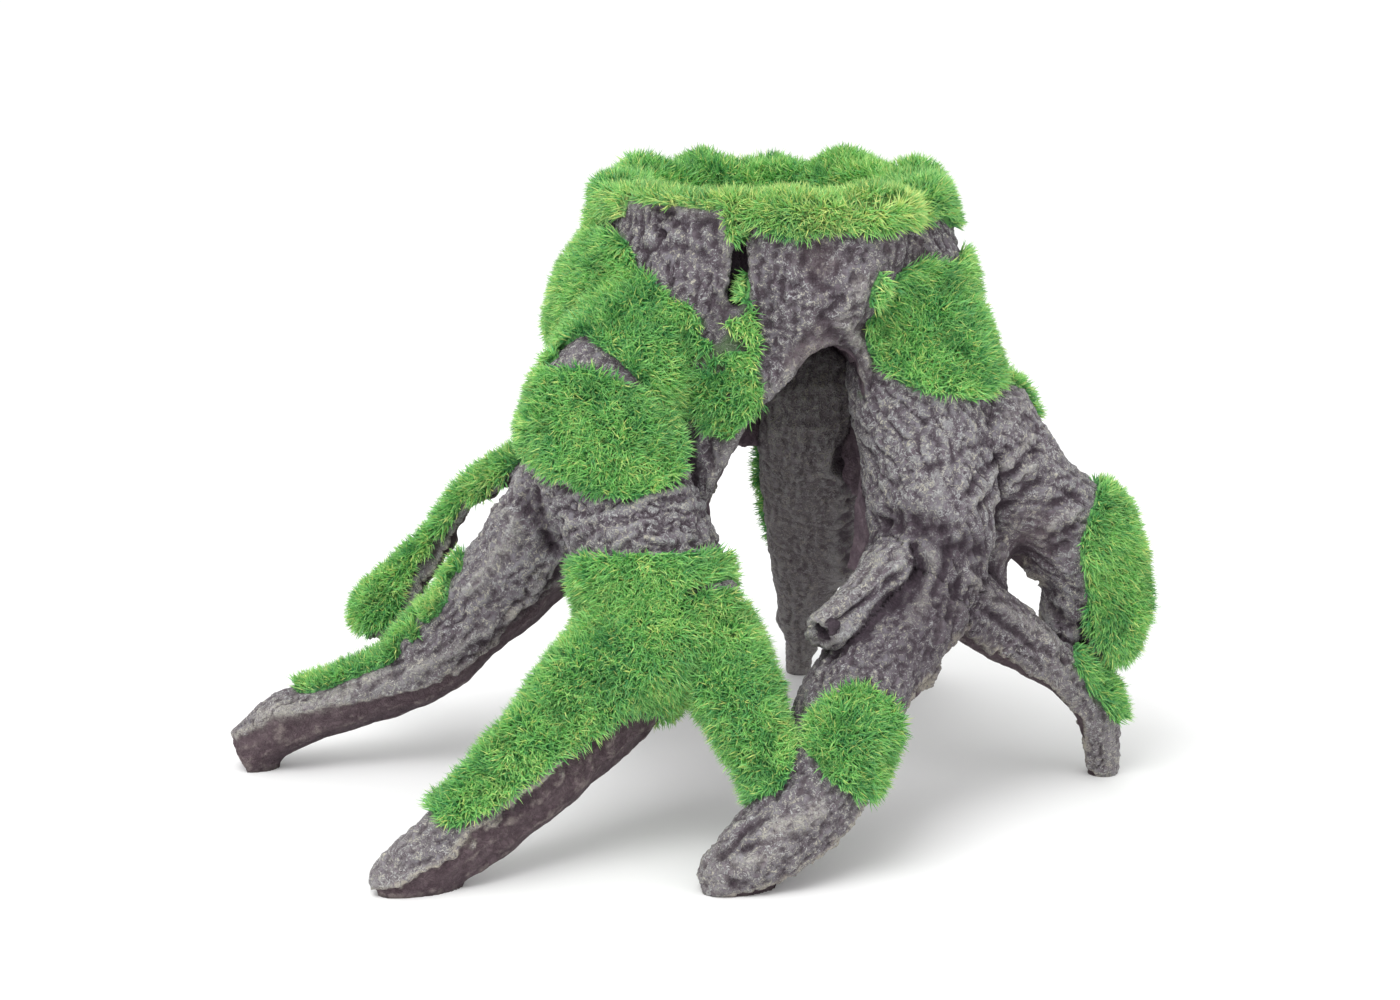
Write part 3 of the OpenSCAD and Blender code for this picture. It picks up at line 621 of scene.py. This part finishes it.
class Nodes:
    def __init__(self, name):
        self.mat = bpy.data.materials.new(name)
        self.mat.use_nodes = True
        self.tree = self.mat.node_tree
        self.tree.nodes.clear()
        self.out = self.tree.nodes.new("ShaderNodeOutputMaterial")
        self.bsdf = self.tree.nodes.new("ShaderNodeBsdfPrincipled")
        self.link(self.bsdf.outputs[0], self.out.inputs["Surface"])
        self.coord = self.tree.nodes.new("ShaderNodeTexCoord")

    def link(self, a, b):
        self.tree.links.new(a, b)

    def put(self, value, socket):
        if isinstance(value, bpy.types.NodeSocket):
            self.link(value, socket)
        else:
            socket.default_value = value

    def attr(self, name):
        n = self.tree.nodes.new("ShaderNodeAttribute")
        n.attribute_name = name
        return n.outputs["Fac"]

    def noise(self, scale, detail=3.0, rough=0.55, stretch=None, distort=0.0):
        n = self.tree.nodes.new("ShaderNodeTexNoise")
        n.inputs["Scale"].default_value = scale
        n.inputs["Detail"].default_value = detail
        n.inputs["Roughness"].default_value = rough
        n.inputs["Distortion"].default_value = distort
        vec = self.coord.outputs["Object"]
        if stretch:
            m = self.tree.nodes.new("ShaderNodeMapping")
            m.inputs["Scale"].default_value = stretch
            self.link(vec, m.inputs["Vector"])
            vec = m.outputs[0]
        self.link(vec, n.inputs["Vector"])
        return n.outputs["Fac"]

    def ridged(self, scale, detail, rough, offset, gain, distort=0.0):
        fac = self.noise(scale, detail, rough, distort=distort)
        n = fac.node
        n.noise_type = "RIDGED_MULTIFRACTAL"
        n.inputs["Offset"].default_value = offset
        n.inputs["Gain"].default_value = gain
        return n.outputs["Fac"]

    def math(self, op, a, b=0.0, clamp=False):
        n = self.tree.nodes.new("ShaderNodeMath")
        n.operation = op
        n.use_clamp = clamp
        self.put(a, n.inputs[0])
        self.put(b, n.inputs[1])
        return n.outputs[0]

    def range(self, x, a, b, c=0.0, d=1.0):
        n = self.tree.nodes.new("ShaderNodeMapRange")
        n.clamp = True
        n.interpolation_type = "SMOOTHSTEP"
        self.put(x, n.inputs["Value"])
        for key, value in (("From Min", a), ("From Max", b), ("To Min", c), ("To Max", d)):
            n.inputs[key].default_value = value
        return n.outputs[0]

    def mix(self, fac, a, b, kind="MIX"):
        n = self.tree.nodes.new("ShaderNodeMix")
        n.data_type = "RGBA"
        n.blend_type = kind
        self.put(fac, n.inputs["Factor"])
        self.put(a, n.inputs["A"] if False else n.inputs[6])
        self.put(b, n.inputs[7])
        return n.outputs[2]

    def bump(self, height, strength, distance):
        n = self.tree.nodes.new("ShaderNodeBump")
        n.inputs["Strength"].default_value = strength
        n.inputs["Distance"].default_value = distance
        self.put(height, n.inputs["Height"])
        self.link(n.outputs[0], self.bsdf.inputs["Normal"])


def bark_material():
    m = Nodes("bark_resin")
    cover, hi = m.attr("cover"), m.attr("high")
    rim, shade_wash, green, tone = m.attr("rim"), m.attr("shade_wash"), m.attr("green"), m.attr("tone")
    pale_mark = m.attr("pale")
    fine = m.noise(900, 4, 0.7, distort=0.6)
    finer = m.noise(1900, 3, 0.65, distort=0.4)
    mid = m.noise(260, 4, 0.6)
    wide = m.noise(55, 3, 0.5)
    # crumpled threads of bark that catch the dry brush
    thread = m.ridged(640, 3, 0.75, 0.95, 2.0, 0.6)
    thread2 = m.ridged(1250, 2, 0.7, 0.95, 2.0, 0.9)
    wiry = m.math("ADD", m.math("MULTIPLY", thread, 0.55), m.math("MULTIPLY", thread2, 0.35))
    wiry = m.range(wiry, 0.95, 1.60)
    # bark: dark wash in the hollows, dry-brushed greys on what stands proud
    level = m.math("ADD", m.math("MULTIPLY", hi, 0.62),
                   m.math("ADD", m.math("MULTIPLY", fine, 0.55), m.math("MULTIPLY", wiry, 0.32)))
    level = m.math("ADD", level, m.math("MULTIPLY", tone, 0.14))
    wash = m.mix(wide, lin(66, 57, 64), lin(80, 70, 77))
    body = m.mix(m.range(level, 0.34, 0.78), wash, m.mix(m.range(mid, 0.35, 0.65), lin(107, 97, 105), lin(126, 122, 129)))
    pale = m.mix(wide, lin(156, 157, 163), lin(168, 166, 164))
    bark = m.mix(m.range(level, 0.80, 1.14), body, pale)
    line = m.math("MULTIPLY", m.range(wiry, 0.55, 0.95), m.range(level, 0.66, 1.0))
    bark = m.mix(m.math("MULTIPLY", line, 0.6), bark, m.mix(m.range(mid, 0.4, 0.6), lin(200, 200, 202), lin(206, 198, 176)))
    pit = m.range(finer, 0.40, 0.30)
    bark = m.mix(m.math("MULTIPLY", pit, 0.5), bark, lin(50, 41, 48))
    # bare wood: smooth purple-brown with faint drawn-out grey
    brush = m.noise(420, 3, 0.6)
    bare = m.mix(m.range(mid, 0.3, 0.7), lin(80, 65, 71), lin(103, 88, 93))
    bare = m.mix(m.range(m.math("ADD", m.math("MULTIPLY", hi, 0.5), m.math("MULTIPLY", brush, 0.6)), 0.62, 0.85),
                 bare, lin(138, 126, 124))
    colour = m.mix(cover, bare, bark)
    colour = m.mix(m.math("MULTIPLY", rim, m.range(fine, 0.35, 0.6)), colour, lin(196, 188, 172))
    # pale strokes: painted highlight with pale dry brush along the ridges, with the pale crests
    colour = m.mix(m.math("MULTIPLY", pale_mark, m.range(fine, 0.3, 0.65)), colour, lin(190, 186, 178))
    # painted shade inside the cave, under the limbs, around the arch and in the dark strokes, with the dark wash in the
    # creases
    colour = m.mix(m.math("MULTIPLY", shade_wash, 0.76), colour, lin(62, 51, 60))
    colour = m.mix(m.attr("inner"), colour, m.mix(m.range(mid, 0.3, 0.7), lin(100, 85, 95), lin(130, 113, 122)))
    tint = m.math("MULTIPLY", m.range(m.math("MULTIPLY", green, m.math("ADD", fine, 0.35)), 0.2, 0.6), 0.5)
    colour = m.mix(tint, colour, lin(92, 132, 72))
    m.link(colour, m.bsdf.inputs["Base Color"])
    m.link(m.range(level, 0.3, 1.0, 0.68, 0.9), m.bsdf.inputs["Roughness"])
    m.bsdf.inputs["Specular IOR Level"].default_value = 0.25
    m.bump(m.math("ADD", m.math("ADD", m.math("MULTIPLY", fine, 0.7), m.math("MULTIPLY", finer, 0.4)),
                  m.math("MULTIPLY", wiry, 0.55)), 0.8, 0.0011)
    return m.mat


def moss_material():
    m = Nodes("moss_flock")
    rnd, tip, shade = m.attr("rnd"), m.attr("tip"), m.attr("shade")
    wide = m.noise(45, 3, 0.55)
    near = m.noise(240, 2, 0.5)
    warm = m.attr("warm")
    mixv = m.math("ADD", m.math("MULTIPLY", rnd, 0.70), m.math("MULTIPLY", near, 0.42))
    mixv = m.math("ADD", mixv, m.math("MULTIPLY", m.range(wide, 0.3, 0.7), 0.30))
    mixv = m.math("ADD", mixv, m.math("MULTIPLY", warm, 0.18))
    colour = m.mix(m.range(mixv, 0.34, 0.78), lin(76, 150, 92), lin(132, 202, 110))
    colour = m.mix(m.range(mixv, 0.80, 1.20), colour, lin(206, 232, 144))
    # fibres darker towards their roots, painted shade down in the turf, and paler towards their tips, painted highlight
    root = m.mix(m.range(tip, 0.0, 0.5), lin(60, 110, 70), colour)
    lit = m.mix(m.math("MULTIPLY", m.range(tip, 0.55, 1.0), 0.4), root, lin(196, 232, 148))
    lit = m.mix(m.math("MULTIPLY", warm, m.range(rnd, 0.3, 0.9, 0.1, 0.7)), lit, lin(220, 220, 136))
    # deeper green in places, and single straw-coloured fibres
    lit = m.mix(m.math("MULTIPLY", m.range(m.noise(95, 3, 0.6), 0.50, 0.66), 0.42), lit, lin(50, 118, 66))
    lit = m.mix(m.math("MULTIPLY", m.range(rnd, 0.91, 0.95), m.range(tip, 0.2, 0.6, 0.2, 0.75)), lit, lin(216, 222, 132))
    m.link(lit, m.bsdf.inputs["Base Color"])
    m.link(m.range(rnd, 0.0, 1.0, 0.45, 0.7), m.bsdf.inputs["Roughness"])
    m.bsdf.inputs["Specular IOR Level"].default_value = 0.3
    m.bump(m.noise(2600, 2, 0.5), 0.25, 0.0002)
    return m.mat


BARK, FLOCK = bark_material(), moss_material()


# ---- the wood, piece by piece ------------------------------------------------
def loops_of(quads):
    """Rims of an open patch, each a list of vertices that runs against its faces."""
    a = np.concatenate([quads[:, 0], quads[:, 1], quads[:, 2], quads[:, 3]])
    b = np.concatenate([quads[:, 1], quads[:, 2], quads[:, 3], quads[:, 0]])
    key = a * (1 << 32) + b
    back = b * (1 << 32) + a
    rim = ~np.isin(key, back)
    after = {}
    for x, y in zip(b[rim].tolist(), a[rim].tolist()):
        after.setdefault(x, []).append(y)
    loops = []
    while after:
        start = next(iter(after))
        loop, here = [start], start
        while True:
            nxt = after[here].pop()
            if not after[here]:
                del after[here]
            if nxt == start:
                break
            loop.append(nxt)
            here = nxt
            if here not in after:
                break
        loops.append(loop)
    return loops


def boxes_uv(v, quads, normal, inner):
    """Flat projections from six sides, twice over for outer and inner walls, in a 4 by 3 sheet."""
    c, n = v[quads].mean(1), unit(normal[quads].mean(1))
    ax = np.abs(n).argmax(1)
    side = ax * 2 + (n[np.arange(len(n)), ax] < 0)
    zone = side + 6 * (inner[quads].mean(1) > 0.5)
    lo, hi = v.min(0), v.max(0)
    size = (hi - lo).max()
    uv = np.zeros((len(quads), 4, 2))
    for k, (i, j) in enumerate(((1, 2), (0, 2), (0, 1))):
        m = ax == k
        w = v[quads[m]]
        uv[m, :, 0] = (w[:, :, i] - lo[i]) / size
        uv[m, :, 1] = (w[:, :, j] - lo[j]) / size
    uv = uv * 0.96 + 0.02
    uv[:, :, 0] = (uv[:, :, 0] + (zone % 4)[:, None]) / 4
    uv[:, :, 1] = (uv[:, :, 1] + (zone // 4)[:, None]) / 4
    return uv


under_moss = G.blur(ANY_MOSS, 1)
# darker: painted shade inside the cave, on the sides that face down and around the cave's arch; painted shade in the
# dark strokes; the dark wash in the bark's grooves and creases; the hub darker
shade_and_wash = np.clip(0.85 * ramp(INSIDE, 0.3, 0.8)
                   + 0.55 * ramp(-UP, 0.35, 0.95)
                   + 0.8 * ramp(ANY_MOSS, 0.9, 1.0) * 0, 0, 1)
# painted shade spread out from the cave over the wood around the top of its arch
arch_shade = G.blur(np.clip(INSIDE * 1.5, 0, 1), 26, 0.9) * ramp(z, 84, 100)
shade_and_wash = np.clip(shade_and_wash + 0.45 * groove ** 3 * rough * (1 - 0.6 * granular) + 0.75 * CREASE
                   + 0.9 * np.clip(-STROKE_SHADE_AND_LIGHT, 0, 1) + 0.8 * np.clip(arch_shade * 1.6, 0, 1) * (1 - INSIDE)
                   + 0.8 * hub * rough * (1 - is_("stub_broken")), 0, 1)
rear = G.blur(is_("root_rear") + is_("root_rear_right") + is_("root_rear_left"), 6)
tone = 0.35 * noise(V, 24, 80) + 0.25 * noise(V, 11, 81) + 1.2 * rear + 0.4 * band - 0.45 * buttress - 1.0 * hub
tone = tone + 0.6 * slab + 0.9 * is_("stub_broken") + 0.7 * right * (1 - hub)
green = np.clip(NEAR_MOSS * 1.3 - 0.1, 0, 1) * (0.25 + 0.75 * ramp(noise(V, 7, 82), -0.3, 0.5)) * COVER
face_label = np.array(LABEL[Q[:, 0]])
count = np.zeros((len(Q), len(WOOD)), np.int8)
for k in range(4):
    count[np.arange(len(Q)), LABEL[Q[:, k]]] += 1
face_label = count.argmax(1)

for k, name in enumerate(WOOD):
    q = Q[face_label == k]
    if not len(q):
        continue
    used, flat = np.unique(q, return_inverse=True)
    q = flat.reshape(-1, 4)
    v = P[used]
    fields = {"inner": ramp(INSIDE, 0.3, 0.8) * 0.85, "cover": COVER, "high": high, "rim": RIM, "shade_wash": shade_and_wash,
              "green": green, "tone": tone, "pale": np.clip(STROKE_SHADE_AND_LIGHT, 0, 1) * 0.8 + 0.25 * CREST * rough + 0.16 * rear}
    fields = {key: value[used] for key, value in fields.items()}
    uv = boxes_uv(v, q, NS[used], INSIDE[used])
    caps, extra = [], []
    for loop in loops_of(q):
        if len(loop) < 3:
            continue
        middle = v[loop].mean(0)
        centre = len(v) + len(extra)
        extra.append((middle, loop[0]))
        ring = np.array(loop)
        caps.append(np.column_stack([ring, np.roll(ring, -1), np.full(len(ring), centre)]))
    faces = [q]
    if caps:
        tris = np.vstack(caps)
        faces.append(tris)
        v = np.vstack([v, [e[0] for e in extra]])
        fields = {key: np.concatenate([value, value[[e[1] for e in extra]]]) for key, value in fields.items()}
        uv = np.concatenate([uv.reshape(-1, 2), np.full((len(tris) * 3, 2), 0.995)])
    ob = make(name + "_cast", v, faces, True, fields, uv.reshape(-1, 2))
    ob.data.materials.append(BARK)
    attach(ob, "root")
    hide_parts(name)

# ---- the moss ----------------------------------------------------------------
P_N = normals_of(P, Q)
SOFT_N = unit(G.blur(P_N, 4))
comb = np.column_stack([noise(V, 13, 90), noise(V, 13, 91), noise(V, 13, 92)])
comb = comb + 0.5 * np.column_stack([noise(V, 5, 93), noise(V, 5, 94), noise(V, 5, 95)])


# tussocks on the crown rim: x, y, radius, height
HUMPS = [(-12, 22, 7, 5.0), (6, 35, 7, 4.6), (28, 41, 6, 2.6), (50, 36, 8, 6.2), (70, 18, 6, 3.6),
         (-19, -4, 6, 2.4), (16, -38, 6, 2.2), (32, -44, 7, 1.6), (54, -36, 6, 2.2), (71, -12, 6, 2.4)]


def blades(c, n, pull, soft, scale):
    """Closed three-sided tapered fibres, with one bend each."""
    count = len(c)
    r = rng.normal(size=(count, 3))
    side = unit(r - (r * n).sum(1)[:, None] * n)
    drift = pull - (pull * n).sum(1)[:, None] * n
    lean = np.clip(rng.normal(1.35, 0.5, count), 0.2, 2.6)
    d0 = unit(n + lean[:, None] * (0.75 * side + 0.85 * drift))
    droop = np.array([0, 0, -1.0])
    d1 = unit(d0 + 0.40 * side * rng.uniform(-1, 1, count)[:, None] + 0.20 * droop + 0.12 * n)
    length = rng.uniform(3.6, 5.6, count) * scale * (0.62 + 0.38 * soft)
    width = rng.uniform(0.17, 0.27, count)
    base = c - d0 * 0.6
    bend = c + d0 * (length * 0.50)[:, None]
    tip = bend + d1 * (length * 0.50)[:, None]
    a = unit(np.cross(d0, rng.normal(size=(count, 3))))
    b = np.cross(d0, a)
    v = np.zeros((count, 7, 3))
    for i in range(3):
        w = math.cos(2.094 * i) * a + math.sin(2.094 * i) * b
        v[:, i] = base + w * width[:, None]
        v[:, 3 + i] = bend + w * (width * 0.85)[:, None]
    v[:, 6] = tip
    quads = np.array([[0, 1, 4, 3], [1, 2, 5, 4], [2, 0, 3, 5]])
    tris = np.array([[3, 4, 6], [4, 5, 6], [5, 3, 6], [2, 1, 0]])
    step = np.arange(count)[:, None, None] * 7
    level = np.array([0, 0, 0, 0.5, 0.5, 0.5, 1.0])
    return v.reshape(-1, 3), (quads + step).reshape(-1, 4), (tris + step).reshape(-1, 3), np.tile(level, count)


total = 0
for name in MOSS:
    on = MOSS_ON[name]
    if on.sum() < 20:
        continue
    soft = G.blur(on, 5, 0.7)
    keep = soft + 0.20 * noise(V, 7, 105) + 0.20 * noise(V, 4.0, 101) + 0.14 * noise(V, 2.2, 102)
    keep = keep - 0.55 * SPARSE * ramp(noise(V, 5.5, 141), -0.25, 0.25) > 0.50
    f = Q[keep[Q].all(1)]
    if not len(f):
        continue
    f = bodies_of(f, 60 / VOXEL ** 2)
    used, flat = np.unique(f, return_inverse=True)
    f = flat.reshape(-1, 4)
    top_n = SOFT_N[used]
    thick = G.blur(np.where(MOSS_T[name] > 0, MOSS_T[name], 3.0 * 0.8), 4, 0.6)[used]
    mound = np.clip(soft[used] * 1.6 - 0.35, 0, 1)
    lumps = 0.45 * noise(V[used], 6, 103) + 0.3 * noise(V[used], 3, 104)
    rise = mound * np.clip(0.26 * thick + lumps, 0.1, 9)
    if name == "moss_crown":
        for hx, hy, hr, hh in HUMPS:
            rise = rise + mound * hh * np.exp(-((V[used][:, 0] - hx) ** 2 + (V[used][:, 1] - hy) ** 2) / hr ** 2)
    v_top = P[used] + top_n * (0.15 + rise)[:, None]
    v_low = P[used] - top_n * 0.9
    m = len(used)
    walls = []
    for loop in loops_of(f):
        ring = np.array(loop)
        nxt = np.roll(ring, -1)
        walls.append(np.column_stack([ring, nxt, nxt + m, ring + m]))
    pad_v = np.vstack([v_top, v_low])
    pad_f = np.vstack([f, f[:, ::-1] + m] + walls)

    # fibres: as many as the area asks for, thinner towards the border
    c = v_top[f]
    area = 0.5 * np.linalg.norm(np.cross(c[:, 2] - c[:, 0], c[:, 3] - c[:, 1]), axis=1)
    weight = soft[used][f].mean(1)
    rate = area * BLADES_PER_MM2 * np.clip(0.35 + 0.8 * weight, 0, 1)
    number = rng.poisson(rate)
    which = np.repeat(np.arange(len(f)), number)
    rng.shuffle(which)
    w = rng.uniform(size=(len(which), 2))
    q = c[which]
    point = (q[:, 0] * ((1 - w[:, 0]) * (1 - w[:, 1]))[:, None] + q[:, 1] * (w[:, 0] * (1 - w[:, 1]))[:, None]
             + q[:, 2] * (w[:, 0] * w[:, 1])[:, None] + q[:, 3] * ((1 - w[:, 0]) * w[:, 1])[:, None])
    bn = unit(top_n[f].mean(1)[which])
    pull = comb[used][f].mean(1)[which]
    bw = weight[which]
    parts = max(1, math.ceil(len(which) / MAX_BLADES))
    order = np.argsort(point[:, 0], kind="stable") if parts > 1 else np.arange(len(which))
    for part, pick in enumerate(np.array_split(order, parts)):
        bv, bq, bt, level = blades(point[pick], bn[pick], pull[pick], bw[pick], 1.0)
        k = len(pick)
        total += k
        r = np.repeat(rng.uniform(size=k), 7)
        with_pad = part == 0
        base = len(pad_v) if with_pad else 0
        verts = np.vstack([pad_v, bv]) if with_pad else bv
        faces = [np.vstack([pad_f, bq + base]) if with_pad else bq, bt + base]
        # bake sheet: a cell for each fibre, and the pad in the lowest fifth
        side = math.ceil(math.sqrt(k / 0.78))
        cellsize = 1.0 / side
        col, row = np.arange(k) % side, np.arange(k) // side
        x0, y0 = col * cellsize, 0.21 + row * cellsize
        vu = np.zeros((k, 7, 2))
        for i in range(3):
            vu[:, i] = np.column_stack([x0 + (0.12 + 0.38 * i) * cellsize, y0 + 0.12 * cellsize])
            vu[:, 3 + i] = np.column_stack([x0 + (0.12 + 0.38 * i) * cellsize, y0 + 0.5 * cellsize])
        vu[:, 6] = np.column_stack([x0 + 0.5 * cellsize, y0 + 0.88 * cellsize])
        vu = vu.reshape(-1, 2)
        if with_pad:
            lo, hi = pad_v.min(0), pad_v.max(0)
            span = (hi - lo).max()
            pu = np.column_stack([(pad_v[:, 0] - lo[0]) / span, ((pad_v[:, 2] - lo[2]) + 0.3 * (pad_v[:, 1] - lo[1])) / (1.3 * span) * 0.19])
            vu = np.vstack([pu, vu])
        uv = np.concatenate([vu[g].reshape(-1, 2) for g in faces])
        zero = np.zeros(base)
        tex = {"rnd": np.concatenate([0.25 + 0.5 * rng.uniform(size=base), r]),
               "tip": np.concatenate([zero + 0.28, level]),
               "shade": np.concatenate([zero, np.ones(len(bv))])}
        near_rim = (name == "moss_crown") * ramp(-verts[:, 1], 8, 34) * ramp(verts[:, 2], 168, 178)
        tex["warm"] = near_rim * (0.45 + 0.55 * ramp(noise(verts, 12, 120), -0.2, 0.5))
        label = name + "_flock" + ("" if parts == 1 else "_%d" % (part + 1))
        ob = make(label, verts, faces, False, tex, uv)
        ob.data.materials.append(FLOCK)
        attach(ob, "root")
        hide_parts(name)
print("fibres", total)

# ---- floor, light, camera ----------------------------------------------------
floor_mat = Nodes("floor_pale")
speck = floor_mat.noise(3, 2, 0.5)
floor_mat.link(floor_mat.mix(speck, (0.86, 0.86, 0.86, 1), (0.88, 0.88, 0.88, 1)), floor_mat.bsdf.inputs["Base Color"])
floor_mat.bsdf.inputs["Roughness"].default_value = 0.9
floor_mat.bsdf.inputs["Specular IOR Level"].default_value = 0.1
floor = make("floor", np.array([[-9000, -9000, 0], [9000, -9000, 0], [9000, 12000, 0], [-9000, 12000, 0]], float),
             [np.array([[0, 1, 2, 3]])], False)
floor.data.materials.append(floor_mat.mat)
floor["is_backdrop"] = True

world = bpy.data.worlds.new("studio")
bpy.context.scene.world = world
world.use_nodes = True
world.node_tree.nodes["Background"].inputs[0].default_value = (1, 1, 1, 1)
world.node_tree.nodes["Background"].inputs[1].default_value = 0.98


def area_light(name, at, to, size, watts):
    light = bpy.data.lights.new(name, "AREA")
    light.shape = "RECTANGLE"
    light.size, light.size_y = size
    light.energy = watts
    ob = bpy.data.objects.new(name, light)
    bpy.context.scene.collection.objects.link(ob)
    ob.location = at
    ob.rotation_euler = (Vector(to) - Vector(at)).to_track_quat("-Z", "Y").to_euler()
    return ob


area_light("key", (-0.45, -0.9, 1.3), (0, 0, 0.08), (0.9, 0.7), 10)
area_light("fill", (1.2, -0.9, 0.7), (0, 0, 0.08), (1.0, 1.0), 3)
sun = bpy.data.lights.new("soft_sky", "SUN")
sun.energy = 0.85
sun.angle = math.radians(50)
sky = bpy.data.objects.new("soft_sky", sun)
bpy.context.scene.collection.objects.link(sky)
sky.rotation_euler = (math.radians(24), math.radians(-14), 0)

bpy.context.scene.view_settings.view_transform = "Standard"
cam = bpy.data.cameras.new("camera")
cam.sensor_width = 36
cam.lens = 72.85
cam.dof.use_dof = False
cam.clip_start, cam.clip_end = 0.05, 60
camera = bpy.data.objects.new("camera", cam)
bpy.context.scene.collection.objects.link(camera)
camera.location = (0.0051, -0.82901, 0.27621)
camera.rotation_euler = (math.radians(77), 0, 0)
bpy.context.scene.camera = camera

lo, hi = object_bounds()
